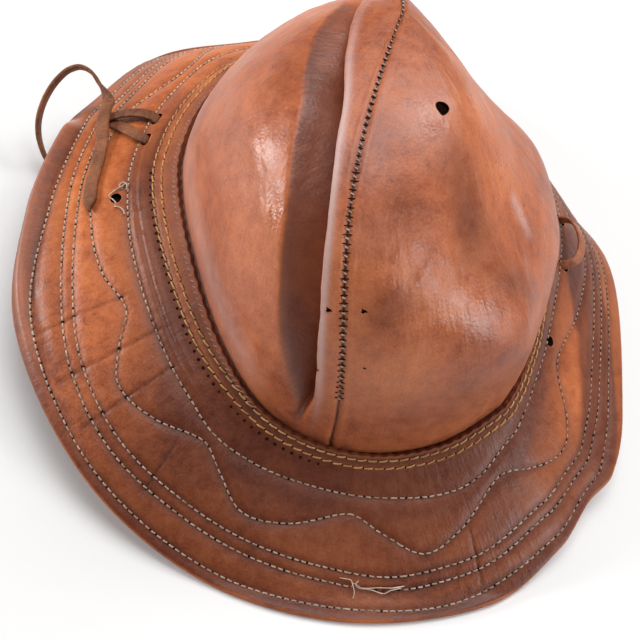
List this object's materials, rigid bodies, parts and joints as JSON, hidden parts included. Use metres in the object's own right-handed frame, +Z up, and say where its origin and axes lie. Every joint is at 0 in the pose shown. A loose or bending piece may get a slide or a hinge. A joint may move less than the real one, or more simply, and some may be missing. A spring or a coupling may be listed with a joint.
{
  "type": "leather hat",
  "caption": "Soft leather hat with a creased two-panel crown, a wide stitched brim whose inner edge turns up round the crown, strap keepers and a chin lace",
  "frame": {"origin": "middle of the hat's box at the height of the surface that it rests on, measured without the chin lace", "axes": "+Z up through the crown, -Y towards the front of the hat, +X to the right of someone who faces its front"},
  "size_m": [0.2581, 0.2953, 0.1343],
  "materials": {
    "crown_leather": "worn satin",
    "brim_leather": "worn satin",
    "lace_leather": "matt",
    "keeper_leather": "matt"
  },
  "bodies": {
    "root": {"crown_right": "crown_leather", "crown_left": "crown_leather", "brim": "brim_leather", "lace_keeper_left": "lace_leather", "lace_keeper_right": "keeper_leather", "chin_lace": "lace_leather"}
  },
  "joints": []
}
